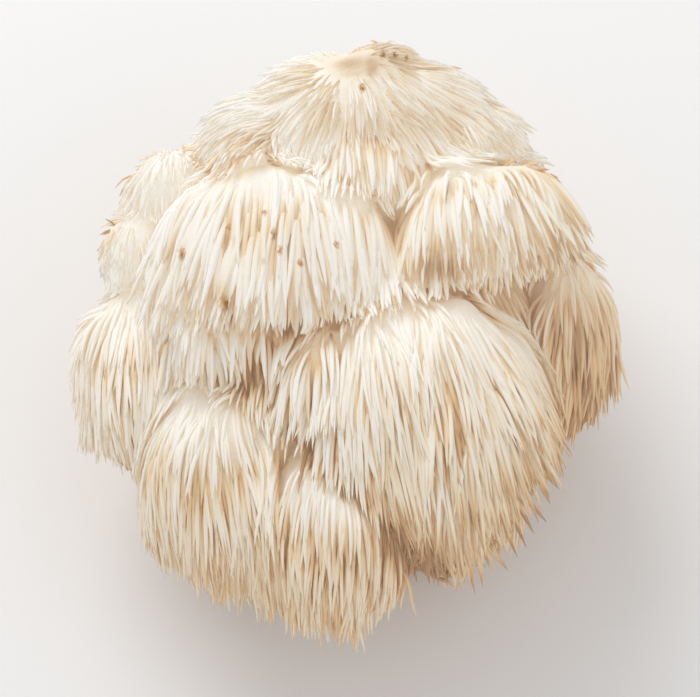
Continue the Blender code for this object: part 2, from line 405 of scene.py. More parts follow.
def unit(vectors):
    """The same directions, one long."""
    return vectors / np.maximum(np.linalg.norm(vectors, axis=-1, keepdims=True), 1e-9)


def out_of_flesh(places, here, laps_here):
    """Direction in which the distance grows."""
    return unit(np.stack([
        to_flesh(places + PROBE * np.eye(3)[axis], laps_here) - here for axis in range(3)
    ], axis=1))


skin = read_skin("co")
lean = read_skin("normal") @ TURN
grown = stand_up(skin)
count = len(skin)
print("mean gap between formula and skin, in mm:", round(float(np.abs(to_flesh(grown)).mean()), 2))

# %% [markdown]
# ## Where the spines start
#
# Spines sit close together all over the lobes. Their roots are picked from the points of the
# remeshed skin. Those are evenly spread, so no two roots share a place, and that is quicker
# than scattering points and weeding out those that are too close. First the places without
# spines are found: a few smooth patches on the crests, and a strip just above the cut.

# %% Smooth patches and the strip above the cut
# across, up, reach across, reach up: smooth patches on the crests
BALD = (
    (-48.0, 46.0, 6.0, 4.0),
    (-56.0, 25.0, 3.5, 4.0),
    (-27.0, 49.5, 5.0, 2.5),
    (0.4, 76.6, 5.5, 2.6),
)
BALD_EDGE = 0.7
# Patches lie in front of this place, measured out towards the eye.
PATCH_FRONT = -5.0
# Roots stay this high over the floor: on the near side, which begins at this place, and behind.
LOW_IN_FRONT, LOW_BEHIND = 5.0, 3.5
NEAR_SIDE = -20.0
chance = np.random.default_rng(7)


def span(places, across, up, wide, high):
    """How far each place is from the middle of a patch, squared: 1 at its edge."""
    return ((places[..., 0] - across) / wide) ** 2 + ((places[..., 1] - up) / high) ** 2


bare = np.zeros(count)
for row in BALD:
    smooth = np.exp(-span(grown, *row) * BALD_EDGE)
    bare = np.maximum(bare, np.where(grown[:, 2] > PATCH_FRONT, smooth, 0.0))
floor_height = skin[:, 2] / MM
low = np.where(skin[:, 1] / MM > NEAR_SIDE, LOW_BEHIND, LOW_IN_FRONT)
keep = (chance.random(count) > bare * 1.2) & (floor_height > low + chance.normal(0, 1.5, count))
print("points of the skin:", count, "with room for a root:", int(keep.sum()))

# %% [markdown]
# ## Valleys and covered flesh
#
# Where one lobe lies over another, no spine could grow between them. It would come out through
# the other lobe. So roots are also dropped at the back of a covered lobe's crest, below the
# belly's edge at its lower left, and in the narrow valleys, where the flesh a few millimetres
# further out belongs to a neighbour.

# %% Valleys and covered flesh
COVERED = ("tier_left", "tier_right", "middle_left", "belly", "belly_left", "lower_left",
           "lower_middle", "lower_right")
BELLY_LOBES = ("belly", "belly_left")
# This far from its crest, in mm, the back of a covered lobe has no roots.
CREST_STRIP = 14.0
# How far out a valley and a narrow gap are felt for, in mm.
VALLEY_PROBE, GAP_PROBE = 6.0, 2.5
# Where the belly ends at its lower left, as places across and up.
BELLY_EDGE = ((-30.0, -17.0), (-18.0, -19.0), (-10.0, -29.0), (6.0, -40.0), (16.0, -52.0),
              (24.0, -62.0), (40.0, -80.0))
edge_across, edge_up = np.array(BELLY_EDGE).T


def belongs(owner, names):
    """Whether each of these owners is one of the lobes with these names."""
    return np.isin(owner, [NAMES.index(name) for name in names])


skin_owner = owners(grown)
from_crest = ((grown - CRESTS[skin_owner]) * RUNS[skin_owner]).sum(axis=1)
facing_back = (lean * AXES[skin_owner, 2]).sum(axis=1) < 0.0
behind_crest = facing_back & (from_crest < CREST_STRIP) & (grown[:, 2] > 0.0)
keep &= ~(belongs(skin_owner, COVERED) & behind_crest)
below_edge = grown[:, 1] < np.interp(grown[:, 0], edge_across, edge_up)
keep &= ~(belongs(skin_owner, BELLY_LOBES) & below_edge)
openness = to_flesh(grown + lean * VALLEY_PROBE)
closed = (openness < 1.5 + 3.0 * chance.random(count)) & (lean[:, 1] > -0.2)
keep &= ~closed & (to_flesh(grown + lean * GAP_PROBE) > 0.6)
candidates = np.flatnonzero(keep)
print("points to pick from:", len(candidates))

# %% [markdown]
# ## Pick the roots
#
# Nearly half of the points get a spine. The flat lobes have short fine hair, so almost all of
# their points get one. The back never shows more than a felt, and a smaller share will do.

# %% Pick the roots
THIN_SHARE, BACK_SHARE, ROOT_SHARE = 0.85, 0.42, 0.44
# Skin that faces back further than this, or lies lower than this, counts as the back.
BACK_LEAN, BACK_HEIGHT = -0.1, 20.0
thin_skin = belongs(skin_owner, FLAT_LOBES)
share_in_front = np.where(thin_skin, THIN_SHARE, ROOT_SHARE)
at_back = (lean[:, 2] < BACK_LEAN) | (floor_height < BACK_HEIGHT)
share_here = np.where(at_back, BACK_SHARE, share_in_front)
roots = candidates[chance.random(len(candidates)) < share_here[candidates]]
start, normal, owner = grown[roots], lean[roots], skin_owner[roots]
root_height = floor_height[roots]
number = len(roots)
print("roots:", number)

# %% [markdown]
# ## The habits of each lobe's spines
#
# On the crown the spines are short and lie flat. On the tiers they are long and thick and hang
# free. One setting for all would make one coat of fur, so each lobe has a row of its own: how
# far its spines fan out at its sides, how long its hem is at the left and at the right as a
# share of the middle, half the thickness of its spines in mm, how far from its crest they stay
# merged with the flesh, and how loosely they lie.

# %% The table of habits
HABITS = {
    "crown": (0.35, 0.9, 0.9, 0.52, 8.0, 0.25),
    "crown_left": (0.25, 0.9, 0.9, 0.52, 10.0, 0.25),
    "crown_right": (0.25, 0.9, 0.9, 0.52, 11.0, 0.25),
    "crown_sweep": (0.25, 0.9, 0.9, 0.68, 8.0, 0.8),
    "shoulder_right": (0.1, 0.9, 0.9, 0.55, 9.0, 0.6),
    "shoulder_left": (0.3, 0.9, 0.9, 0.5, 9.0, 0.15),
    "shoulder_low": (0.3, 0.9, 0.9, 0.5, 7.0, 0.15),
    "crest_knot": (0.3, 1.0, 1.0, 0.6, 9.0, 0.6),
    "crown_bump": (0.3, 1.0, 1.0, 0.5, 1.0, 0.3),
    "tier_left": (0.3, 1.15, 0.65, 0.88, 9.0, 0.9),
    "tier_right": (0.32, 0.9, 0.95, 0.8, 10.0, 0.9),
    "middle_left": (0.1, 0.8, 1.0, 0.75, 4.0, 1.0),
    "cheek_left": (0.15, 0.8, 0.85, 0.58, 10.0, 0.7),
    "belly": (0.05, 0.5, 0.72, 0.62, 6.0, 1.0),
    "belly_left": (0.0, 1.35, 1.35, 0.62, 5.0, 1.0),
    "cheek_right": (0.1, 0.8, 0.65, 0.58, 8.0, 0.9),
    "lower_left": (0.15, 0.6, 0.95, 0.58, 4.0, 0.8),
    "lower_middle": (0.15, 0.85, 0.5, 0.57, 3.0, 0.8),
    "lower_right": (0.1, 0.7, 0.6, 0.55, 4.0, 1.0),
}
PLAIN = (0.1, 0.7, 0.7, 0.55, 5.0, 0.8)
# On the core itself: how long the spines get, and how far they draw in.
CORE_LENGTH, CORE_DRAW = 14, 0.5
habits = np.array([HABITS.get(name, PLAIN) for name in NAMES] + [PLAIN])
fan, hem_left, hem_right, girth, merged, loft = habits[owner].T
full_length = np.array([lobe[6] for lobe in LOBES] + [CORE_LENGTH], float)[owner]
# 0 for an open hem, 1 for one that is quite closed.
draw_in = [np.clip((0.95 - lobe[5]) / 0.4, 0, 1) for lobe in LOBES]
draw_in = np.array(draw_in + [CORE_DRAW])[owner]
run = RUNS[owner]
sideways = AXES[owner, 0]
across_share = ((start - MIDDLES[owner]) * sideways).sum(axis=1) / (RADII[owner, 0] + COAT)
along_share = ((start - CRESTS[owner]) * run).sum(axis=1) / REACHES[owner]
print("lobes with habits of their own:", len(HABITS))

# %% [markdown]
# ## Where the spines part
#
# On top of a lobe the spines part like hair and lie outwards on all sides. The parting is a
# short ridge, a little to the front of the top. The crown's lobes share one whorl, so that they
# read as one head of hair, and so do the belly and its left side. On the hidden back the spines
# run this way and that, as its two sine waves turn them.

# %% Where the spines part
PART_TILT = math.radians(5.0)
# Half the length of the ridge: as a share of a lobe's half width, then in mm.
RIDGE_SHARE = 0.5
CROWN_RIDGE, BELLY_RIDGE = 3.0, 26.0
CROWN_WHORL = np.array([3.0, 73.0, 30.0])
# The core's skin counts as hidden below this height over the floor, in mm.
HIDDEN_HEIGHT = 24.0


def ease(value, low, high):
    """0 up to low, 1 from high on, and a soft rise between them."""
    t = np.clip((value - low) / (high - low), 0.0, 1.0)
    return t * t * (3.0 - 2.0 * t)


belly, belly_left = (NAMES.index(name) for name in BELLY_LOBES)
whorls = (MIDDLES - AXES[:, 1] * (RADII[:, 1] * math.cos(PART_TILT))[:, None]
          + AXES[:, 2] * (RADII[:, 2] * math.sin(PART_TILT))[:, None])
whorls[:CROWN_ROWS] = CROWN_WHORL
whorls[belly_left] = whorls[belly]
ridge = RADII[:, 0] * RIDGE_SHARE
ridge[:CROWN_ROWS] = CROWN_RIDGE
ridge[[belly, belly_left]] = BELLY_RIDGE
whorl = whorls[owner]
beside = ((start - whorl) * sideways).sum(axis=1)
beside = np.clip(beside, -ridge[owner], ridge[owner])
radial = start - whorl - sideways * beside[:, None]
radial_far = np.linalg.norm(radial, axis=1)
radial -= normal * (radial * normal).sum(axis=1, keepdims=True)
radial = unit(radial)
on_crown = owner < CROWN_ROWS
hidden = (normal[:, 2] < BACK_LEAN) | ((owner == len(LOBES)) & (root_height < HIDDEN_HEIGHT))
across, up, out = start.T
swirl = np.sin(across / 4.3 + up / 6.1) + np.sin(across / 9.7 - up / 5.2 + 1.0)
swirl = 0.22 * swirl * on_crown * np.exp(-radial_far / 40.0)
swirl += hidden * (np.sin(across / 4.0 + up / 7.0) + 1.1 * np.sin(up / 5.0 + out / 4.0))
radial = unit(radial + np.cross(normal, radial) * swirl[:, None])
print("spines on the crown:", int(on_crown.sum()), "on the hidden back:", int(hidden.sum()))

# %% [markdown]
# ## Which way the spines hang
#
# A spine bends towards the ground, and towards the hem of its lobe. Were that all, the coat
# would look combed. So slow waves turn whole bunches a little to the left or right, chance
# turns each spine a little more, and a few stray ones stand out. The right half of the belly
# flares, as its spines come round from the side.

# %% Which way the spines hang
STRAYS = 0.015
SIDE_TURN = 0.06
BELLY_FLARE = 0.32
wave = (0.10 * np.sin(across / 5.5 + up / 13.0 + 1.0)
        + 0.08 * np.sin(across / 3.1 - up / 9.0 + 2.0)
        + 0.06 * np.sin(up / 6.0 + out / 7.0))
stray = chance.random(number) < STRAYS
side_turn = chance.normal(0.0, SIDE_TURN, number)
side_turn[stray] *= 4.0
flare = (owner == belly) & (across_share > 0.0)
fan = np.where(flare, BELLY_FLARE, fan)
target = unit(run * 0.5 + DOWN * 0.5)
outer = ease(radial_far, 15.0, 50.0)[:, None]
on_top = unit(radial * (0.65 - 0.3 * outer) + DOWN * (0.4 + 0.5 * outer))
target[on_crown] = on_top[on_crown]
target = unit(target + sideways * (fan * across_share + wave * 0.7 + side_turn)[:, None])
bend = chance.normal(0.0, 0.005, number)
across_axis = unit(np.cross(target, np.array([0.0, 0.0, 1.0])))
print("stray spines:", int(stray.sum()))

# %% [markdown]
# ## How a spine leaves the flesh
#
# At its root a spine lies along the skin: away from the whorl near the crest, and straight on
# towards its target further down. A small lift and a little chance keep the roots from lying
# in rows. Near the crown's whorl there is more of it, since the hair there is tousled.

# %% How a spine leaves the flesh
inward = np.minimum((normal * target).sum(axis=1, keepdims=True), 0.0)
sliding = unit(target - normal * inward)
parting = 1.0 - ease(along_share, 0.1, 0.55)
parting[on_crown] = 1.0 - ease(radial_far[on_crown], 10.0, 45.0)
under = ease(-normal[:, 1], 0.1, 0.7)
parting *= 1.0 - under
parting *= np.where(on_crown, 0.8, 0.6)
first = unit(radial * parting[:, None] + sliding * (1.0 - parting)[:, None])
lift = np.full(number, 0.1)
lift[stray] = 0.5
mess = 0.05 + 0.35 * on_crown * np.exp(-radial_far / 9.0)
first = unit(first + normal * lift[:, None] + chance.normal(0.0, 1.0, (number, 3)) * mess[:, None])
print("spines that start away from a whorl:", int((parting > 0.3).sum()))

# %% [markdown]
# ## How long the spines are
#
# Spines are shorter near the crest and reach their full length a third of the way down. On the
# back they stay a felt, shortest along its rim and close to the cut, because a mushroom's back
# is pressed against its wood. Each spine also gets a layer: how high it lies in the coat, so
# that some lie over others.

# %% How long the spines are
FELT_ON_RIM, FELT_BEHIND = (3.0, 7.0), (5.0, 12.0)
RIM_LEAN = -0.55
MERGED_AT_BACK = 1.5
length = full_length * (0.75 + 0.25 * ease(along_share, 0.0, 0.3))
length *= chance.uniform(0.7, 1.12, number)
length *= 1.0 - 0.35 * ease(-out, 16.0, 34.0)
length *= np.where(on_crown, 0.4 + 0.6 * ease(radial_far, 3.0, 20.0), 1.0)
felt_on_rim = chance.uniform(*FELT_ON_RIM, number)
felt_behind = chance.uniform(*FELT_BEHIND, number)
felt = np.where(normal[:, 2] > RIM_LEAN, felt_on_rim, felt_behind)
length = np.where(hidden, np.minimum(length, felt), length)
near_floor = ease(root_height, 6.0, 26.0)
length *= 0.35 + 0.65 * np.where(hidden, near_floor, 1.0)
layer = chance.uniform(0.0, 1.0, number) ** 1.2 * 3.2 + 0.3
layer *= loft
layer[stray] += 1.2
merged = np.where(hidden, MERGED_AT_BACK, merged)
print("mean length before the hems are trimmed, in mm:", round(float(length.mean()), 1))

# %% [markdown]
# ## Felt at the back, free spines at the belly
#
# The felt at the back stands up in the middle of each knob and is ruffled all over. At the
# belly's right hem, one spine in three comes free of the others and sticks out.

# %% Felt at the back, free spines at the belly
FREE_SHARE = 0.3
ruffle = 0.35 + 0.4 * np.exp(-radial_far / 6.0)
upright = (hidden * np.exp(-(radial_far / 9.0) ** 2))[:, None]
first = first * (1.0 - upright) + normal * upright * 1.2
first = unit(first + (hidden * ruffle)[:, None] * chance.normal(0.0, 1.0, (number, 3)))
free = (owner == belly) & (across_share > 0.1) & (chance.random(number) < FREE_SHARE)
draw_in = np.where(free, 0.0, draw_in)
print("free spines:", int(free.sum()))

# %% [markdown]
# ## How high a spine lies
#
# Near its crest a spine is sunk in the flesh, and shows only as a soft ridge. Further down it
# rises to its layer. A lobe lies over those below it, so its spines hold a lap further away
# from their flesh. The small lobe in the middle is the other way round: it stands in front of
# the belly, and the belly's spines end behind it.

# %% How high a spine lies
LAP = 2.2
# A lobe counts as lower when its middle is this much lower, in mm.
LOWER = 8.0
is_below = MIDDLES[None, :, 1] < MIDDLES[:, None, 1] - LOWER
laps = np.where(is_below, LAP, 0.0)
laps[[belly, belly_left], NAMES.index("lower_middle")] = 0.0
laps = laps[owner]
is_flat = belongs(owner, FLAT_LOBES)
sunk = np.clip(merged - radial_far, np.where(is_flat, 5.0, 1.5), 14.0)
sunk = np.where(hidden, 0.3, sunk)
rise = np.where(hidden, 2.0, 6.0)
sink = np.where(is_flat, 0.5, 0.65)
sink[belongs(owner, ("tier_left", "tier_right"))] = 0.72
print("deepest start of a spine, in mm:", round(float((sink * girth).max()), 2))

# %% [markdown]
# ## Walk the spines
#
# A spine leaves the flesh at a slant, bends down under its own weight within a few
# millimetres, and then follows the lobe as long as the lobe is in its way. Where the lobe
# curves back in, it hangs free, and that gives the tiers their fringes. Hair curves could be
# combed like this by hand, but they have no faces, and the model would lose them when it is
# saved as meshes. So each spine is walked in short steps, all spines at once, and after each
# step it is pushed off the flesh.

# %% Walk the spines
STEPS = 9
# A heading turns towards its aim over about this length, in mm.
RELAX = 8.0


def wanted_gap(share, length):
    """How far over the flesh each spine should be at this share of its length, in mm."""
    coat = ease(length, 3.0, 16.0)
    risen = ease(share * (length + 1.0), sunk, sunk + rise)
    return -sink * girth * (1.0 - risen) + (layer + 0.4) * coat * risen * share ** 0.6


def walk(length):
    """Paths of all the spines at these lengths, in mm."""
    paths = np.empty((number, STEPS + 1, 3))
    place = start - normal * 1.0
    paths[:, 0] = place
    heading = first
    step = (length + 1.0) / STEPS
    stick_out = (0.35 * free * ease(along_share, 0.6, 0.9))[:, None]
    for k in range(1, STEPS + 1):
        share = k / STEPS
        rate = 1.0 - np.exp(-step / RELAX)
        aim = target + across_axis * (bend * length * share)[:, None]
        aim = aim + normal * stick_out
        heading = unit(heading + (aim - heading) * rate[:, None])
        moved = place + heading * step[:, None]
        laps_here = laps * min(1.0, share * 1.5)
        gap = to_flesh(moved, laps_here)
        want = wanted_gap(share, length)
        push = np.maximum(want - gap, 0.0)
        pull = np.clip(gap - want, 0.0, 3.0) * draw_in * 0.5 * (share > 0.3) * (share < 0.75)
        moved = moved + out_of_flesh(moved, gap, laps_here) * (push - pull)[:, None]
        travel = unit(moved - place)
        heading = unit(heading * 0.5 + travel * 0.5)
        place = place + travel * step[:, None]
        paths[:, k] = place
    return paths


paths = walk(length)
print("steps walked:", number * STEPS)

# %% [markdown]
# ## Trim the hems
#
# The spines of a lobe end at about the same line, its hem, with ragged tips. After the first
# walk it is known how far each tip reaches, so the spines that reach past their hem are
# shortened, and all are walked once more. Cutting the mesh at the hem would leave flat ends.

# %% Trim the hems
HEM_AT = 0.94
RAGGED = (-3.0, 7.0)
SHORTEST = 5.0
# The belly's hem hangs lower over the hollow between it and the two lobes below.
HOLLOW_ACROSS, HOLLOW_WIDE, HOLLOW_DROP = -14.0, 5.5, 7.0
ends = ((paths[:, -1] - CRESTS[owner]) * run).sum(axis=1)
hem_side = np.where(across_share < 0, hem_left, hem_right)
hem_share = 1.0 + (hem_side - 1.0) * np.minimum(np.abs(across_share), 1.0) ** 1.5
limit = REACHES[owner] * HEM_AT * hem_share + chance.uniform(*RAGGED, number)
comb = (owner == belly) * ease(across_share, 0.1, 0.35)
limit = limit + np.where(free, chance.uniform(0.0, 3.0, number), -3.5 * comb)
limit = limit - 2.5 * flare * ease(across_share, 0.3, 0.8)
length = np.maximum(length - np.maximum(ends - limit, 0.0), SHORTEST)
tip_across, tip_up = paths[:, -1, 0], paths[:, -1, 1]
edge_here = np.interp(tip_across, edge_across, edge_up) + chance.uniform(-6.0, 3.0, number)
edge_here -= HOLLOW_DROP * np.exp(-((tip_across - HOLLOW_ACROSS) / HOLLOW_WIDE) ** 2)
past_edge = np.maximum(edge_here - tip_up, 0.0) * belongs(owner, BELLY_LOBES)
length = np.maximum(length - past_edge, SHORTEST)
paths = walk(length)
print("longest spine, in mm:", round(float(length.max()), 1),
      "mean:", round(float(length.mean()), 1))

# %% [markdown]
# ## Gather the spines into locks
#
# Neighbouring spines cling together when they are damp, and their tips meet in little locks
# with gaps between them. A few spines are taken as leaders, and each other spine leans towards
# the nearest leader, more at its tip than at its root. That costs no faces, and it breaks up
# the even coat.

# %% Gather the spines into locks
LEADERS = 1100
# Locks are told by where the spines are at this step, and reach this far, in mm.
LOCK_STEP = 3
LOCK_REACH = 7.0
CHUNK = 500


def nearest_leaders(points, leaders):
    """Number of the leader that is nearest to each point, found for some points at a time."""
    found = np.empty(len(points), int)
    for begin in range(0, len(points), CHUNK):
        part = points[begin:begin + CHUNK]
        gaps = ((part[:, None, :] - points[leaders][None, :, :]) ** 2).sum(axis=2)
        found[begin:begin + CHUNK] = np.argmin(gaps, axis=1)
    return found


leaders = chance.choice(number, size=LEADERS, replace=False)
lock = nearest_leaders(paths[:, LOCK_STEP], leaders)
leader_paths = paths[leaders[lock]]
spread = (chance.uniform(0.0, 0.6, LEADERS) ** 1.3)[lock] * chance.uniform(0.5, 1.0, number)
shares = np.linspace(0.0, 1.0, STEPS + 1)
cling = (ease(shares, 0.15, 1.0)[None, :] * spread[:, None])[:, :, None]
lock_gap = np.linalg.norm(leader_paths[:, LOCK_STEP] - paths[:, LOCK_STEP], axis=1)
cling *= (lock_gap < LOCK_REACH)[:, None, None]
paths = paths + (leader_paths - paths) * cling
for _ in range(2):
    paths[:, 1:-1] = paths[:, 1:-1] * 0.5 + (paths[:, :-2] + paths[:, 2:]) * 0.25
print("leaders:", LEADERS, "spines that follow one:", int((lock_gap < LOCK_REACH).sum()))

# %% [markdown]
# ## The comb at the belly's hem
#
# At the lower right, single teeth stand free of the belly's hem, like a comb. Chance would put
# them anywhere, so each row names the place across and up that a tip reaches. The nearest spine
# is drawn to it, more and more towards its tip. At the end all paths are laid down on the floor.

# %% The comb at the belly's hem
COMB = (
    (29.5, -65.5), (33.5, -63.5), (37.0, -64.0), (40.5, -60.5), (44.0, -59.5), (46.5, -56.0),
    (49.0, -53.5), (51.0, -49.5), (54.5, -46.5), (55.5, -41.5), (58.0, -37.5), (58.5, -32.5),
)
COMB_OUT = 16.0
COMB_LENGTH = 26.0
FLOOR_GAP = 1.1 * MM
combed = np.flatnonzero(comb > 0.5)
teeth = []
for tooth_across, tooth_up in COMB:
    tip = np.array([tooth_across, tooth_up, COMB_OUT])
    far = np.linalg.norm(paths[combed, -1] - tip, axis=1)
    far[np.isin(combed, teeth)] = np.inf
    tooth = combed[np.argmin(far)]
    teeth.append(tooth)
    paths[tooth] += (tip - paths[tooth, -1]) * (shares ** 2)[:, None]
length[teeth] = COMB_LENGTH
free[teeth] = True
laid = lay_down(paths.reshape(-1, 3)).reshape(number, STEPS + 1, 3)
laid[:, :, 2] = np.maximum(laid[:, :, 2], FLOOR_GAP)
print("teeth of the comb:", len(teeth))

# %% [markdown]
# ## One spine
#
# A spine is a soft cone: a little narrower at its root, thickest in its lower half, then a long
# taper to a fine point. It is modelled once. A circle is extruded upwards and resized at each
# ring, and the last ring is merged to a point. It has only five sides, because thousands of
# copies follow, and smooth shading makes it look round. The short hair of the crown and the
# back gets by with four sides and fewer rings.

# %% One spine
# Each ring's place along the spine and its radius, as shares.
LONG_RINGS = ((0.0, 0.6), (0.16, 0.85), (0.34, 0.97), (0.52, 1.0),
              (0.68, 0.88), (0.82, 0.62), (0.92, 0.33), (1.0, 0.05))
SHORT_RINGS = ((0.0, 0.7), (0.3, 0.95), (0.6, 1.0), (0.84, 0.6), (1.0, 0.05))


def model_spine(name, rings, sides):
    """Places and faces of one upright spine, one unit long."""
    bpy.ops.object.select_all(action="DESELECT")
    bpy.ops.mesh.primitive_circle_add(vertices=sides, radius=rings[0][1], fill_type="TRIFAN")
    made = bpy.context.active_object
    made.name = name
    bpy.ops.object.mode_set(mode="EDIT")
    bpy.ops.mesh.select_all(action="SELECT")
    for (place_before, width_before), (place, width) in zip(rings, rings[1:]):
        rise = place - place_before
        bpy.ops.mesh.extrude_region_move(TRANSFORM_OT_translate={"value": (0, 0, rise)})
        grow = width / width_before
        bpy.ops.transform.resize(value=(grow, grow, 1.0))
    bpy.ops.mesh.merge(type="CENTER")
    bpy.ops.mesh.select_all(action="SELECT")
    bpy.ops.mesh.normals_make_consistent(inside=False)
    bpy.ops.object.mode_set(mode="OBJECT")
    found = np.empty(len(made.data.vertices) * 3)
    made.data.vertices.foreach_get("co", found)
    faces = [tuple(face.vertices) for face in made.data.polygons]
    bpy.data.objects.remove(made, do_unlink=True)
    print(name, "points:", len(found) // 3, "faces:", len(faces))
    return found.reshape(-1, 3), faces


long_spine = model_spine("long_spine", LONG_RINGS, 5)
short_spine = model_spine("short_spine", SHORT_RINGS, 4)

# %% [markdown]
# ## Bend a copy along every path
#
# A curve modifier would bend one copy at a time. Here all the copies are bent in one go: a
# point of the cone keeps its share of the length, and its offset is laid across the path. The
# two directions across a path are carried along from step to step, so that no copy twists.

# %% Bend the copies
TOOTH_GIRTH = 1.35
# Any direction that no spine follows will do to start from.
ASKEW = np.array([0.31, 0.52, 0.8])
thick = girth * chance.uniform(0.82, 1.15, number) * MM
thick *= 0.65 + 0.35 * ease(length, 5.0, 18.0)
thick[teeth] *= TOOTH_GIRTH


def knots(shape_points):
    """For each point of a spine, the step before it and the share of the way to the next."""
    place = np.clip(shape_points[:, 2], 0.0, 1.0) * STEPS
    before = np.minimum(place.astype(int), STEPS - 1)
    return before, place - before


def bent(which, shape_points):
    """Points of the spines in this selection, as one array."""
    path = laid[which]
    tangent = np.gradient(path, axis=1)
    tangent /= np.maximum(np.linalg.norm(tangent, axis=2, keepdims=True), 1e-12)
    side = np.cross(tangent[:, 0], ASKEW)
    sides = np.empty_like(path)
    for k in range(path.shape[1]):
        side = side - tangent[:, k] * (side * tangent[:, k]).sum(axis=1, keepdims=True)
        side /= np.maximum(np.linalg.norm(side, axis=1, keepdims=True), 1e-12)
        sides[:, k] = side
    before, part = knots(shape_points)
    part = part[None, :, None]
    middle = path[:, before] * (1 - part) + path[:, before + 1] * part
    along = tangent[:, before] * (1 - part) + tangent[:, before + 1] * part
    flat = sides[:, before] * (1 - part) + sides[:, before + 1] * part
    upward = np.cross(along, flat)
    wide = thick[which][:, None, None]
    points = middle + flat * shape_points[None, :, 0:1] * wide
    points = points + upward * shape_points[None, :, 1:2] * wide
    return points.reshape(len(path) * len(shape_points), 3)


print("mean radius of a spine, in mm:", round(float(thick.mean()) / MM, 2))

# %% [markdown]
# ## Where the head is tan and shaded
#
# The spines are cream at their tips. The tan at their roots, and the honey brown where they lie
# deep between the lobes, is painted shade, for the little light that gets into the coat. A few
# broad patches are tanner or paler than the rest. All of this depends on where a spine lies on
# the head, which a texture on one spine can't know. So each point carries a number from 0,
# cream, to 1, tan and shaded, and the finish reads it.

# %% Patches of tan and painted shade
# across, up, reach across, reach up, how tan. Some patches are the spines' own tan, others
# painted shade in crevices and on the lower right, away from the light. Below zero the patch is
# paler: a painted highlight on a lit crest.
TAN_AND_SHADE_PATCHES = (
    (66.0, -10.0, 12.0, 26.0, 0.55),
    (22.0, -60.0, 6.0, 9.0, 0.9),
    (14.0, -48.0, 4.0, 7.0, 0.6),
    (7.0, -38.0, 3.0, 5.0, 0.45),
    (-27.0, -12.0, 6.0, 9.0, 0.5),
    (-32.0, 14.0, 2.5, 4.0, 0.7),
    (24.0, 22.0, 6.0, 3.5, 0.65),
    (3.0, 77.0, 9.0, 5.0, 0.35),
    (14.0, 78.0, 9.0, 5.0, 0.4),
    (-14.0, 62.0, 9.0, 9.0, 0.10),
    (0.4, 76.6, 4.8, 2.1, 0.6),
    (24.0, 66.0, 16.0, 12.0, 0.1),
    (-16.0, 30.0, 26.0, 10.0, 0.2),
    (24.0, -10.0, 30.0, 25.0, 0.07),
    (-58.0, -25.0, 10.0, 14.0, 0.1),
    (-38.0, -14.0, 14.0, 10.0, -0.35),
    (-16.0, 41.0, 30.0, 9.0, -0.2),
    (-50.0, 40.0, 14.0, 12.0, -0.1),
    (-56.0, 12.0, 10.0, 10.0, -0.2),
    (-26.0, 4.0, 24.0, 14.0, -0.08),
    (-5.0, -38.0, 12.0, 12.0, -0.2),
    (6.8, 75.5, 1.3, 2.4, 0.8),
    (1.0, 73.6, 4.5, 0.9, 0.35),
    (-27.0, 49.5, 5.0, 2.5, 0.3),
)


def patched_tan_and_shade(places):
    """Patches of tan and painted shade, and painted shade that grows down and to the right."""
    # Painted shade: darker towards the hem and the right side, away from the lamp at the upper
    # left.
    found = 0.38 * ease(-places[..., 1], 0.0, 75.0) + 0.22 * ease(places[..., 0], 20.0, 75.0)
    for *patch, much in TAN_AND_SHADE_PATCHES:
        found += much * np.exp(-span(places, *patch))
    return found


print("patches of tan:", len(TAN_AND_SHADE_PATCHES))

# %% [markdown]
# ## Painted shade in crevices and layers, and darker locks
#
# Three more things make a spine tan: painted shade where it lies deep in the coat and where it
# runs into the crevice between two lobes, and a whole lock that is a little darker than the
# next. The distance to the second nearest lobe tells a crevice. The belly and its left side are
# one lobe to the eye, so the left side is left out of that distance.

# %% Painted shade in crevices and layers, and darker locks
# This far away a lobe no longer counts, in mm.
FAR_OFF = 99.0
# How much painted shade a crevice and a deep layer give: on flat lobes, on the tiers, and
# elsewhere.
CREVICE_SHADE_FLAT, CREVICE_SHADE = 0.22, 0.45
DEEP_SHADE_TIERS, DEEP_SHADE = 0.85, 0.5
DARK_LOCKS, LOCK_TAN = 0.22, 0.26
DARK_SPINES, SPINE_TAN = 0.2, 0.22
BACK_TAN, BACK_MOTTLE = 0.46, 0.18


def next_lobe(places):
    """Distance to the second nearest lobe. The belly and its left side count as one."""
    apart = distances(places)
    apart[:, belly_left] = FAR_OFF
    return np.partition(apart, 1, axis=1)[:, 1]


over = np.stack([to_flesh(paths[:, k]) for k in range(STEPS + 1)], axis=1)
second = np.stack([next_lobe(paths[:, k]) for k in range(STEPS + 1)], axis=1)
# Painted shade: spines that run into a crevice between two lobes get tanner.
crevice_shade = 1.0 - ease(second, 1.5, 6.0)
run_shares = ((paths - CRESTS[owner][:, None, :]) * run[:, None, :]).sum(axis=2)
run_shares = run_shares / REACHES[owner][:, None]
inner = 1.0 - np.clip(layer / np.maximum(2.4 * loft, 1e-6), 0.0, 1.0)
on_tiers = belongs(owner, ("tier_left", "tier_right", "middle_left"))
# Painted shade: spines deep in the coat get tanner.
deep_shade = inner * np.where(is_flat | hidden, 0.0, np.where(on_tiers, DEEP_SHADE_TIERS, DEEP_SHADE))
back_mottle = BACK_MOTTLE * np.sin(across / 3.0 + up / 5.0) * np.sin(up / 4.0 + out / 3.0)
back_tan = (BACK_TAN + back_mottle) * hidden
tint = chance.uniform(0.0, 1.0, number)
lock_shade = chance.uniform(0.0, 1.0, LEADERS)[lock]
streak = is_flat * (LOCK_TAN * (lock_shade < DARK_LOCKS)
                    + SPINE_TAN * (chance.random(number) < DARK_SPINES))
print("spines with a dark streak:", int((streak > 0).sum()))
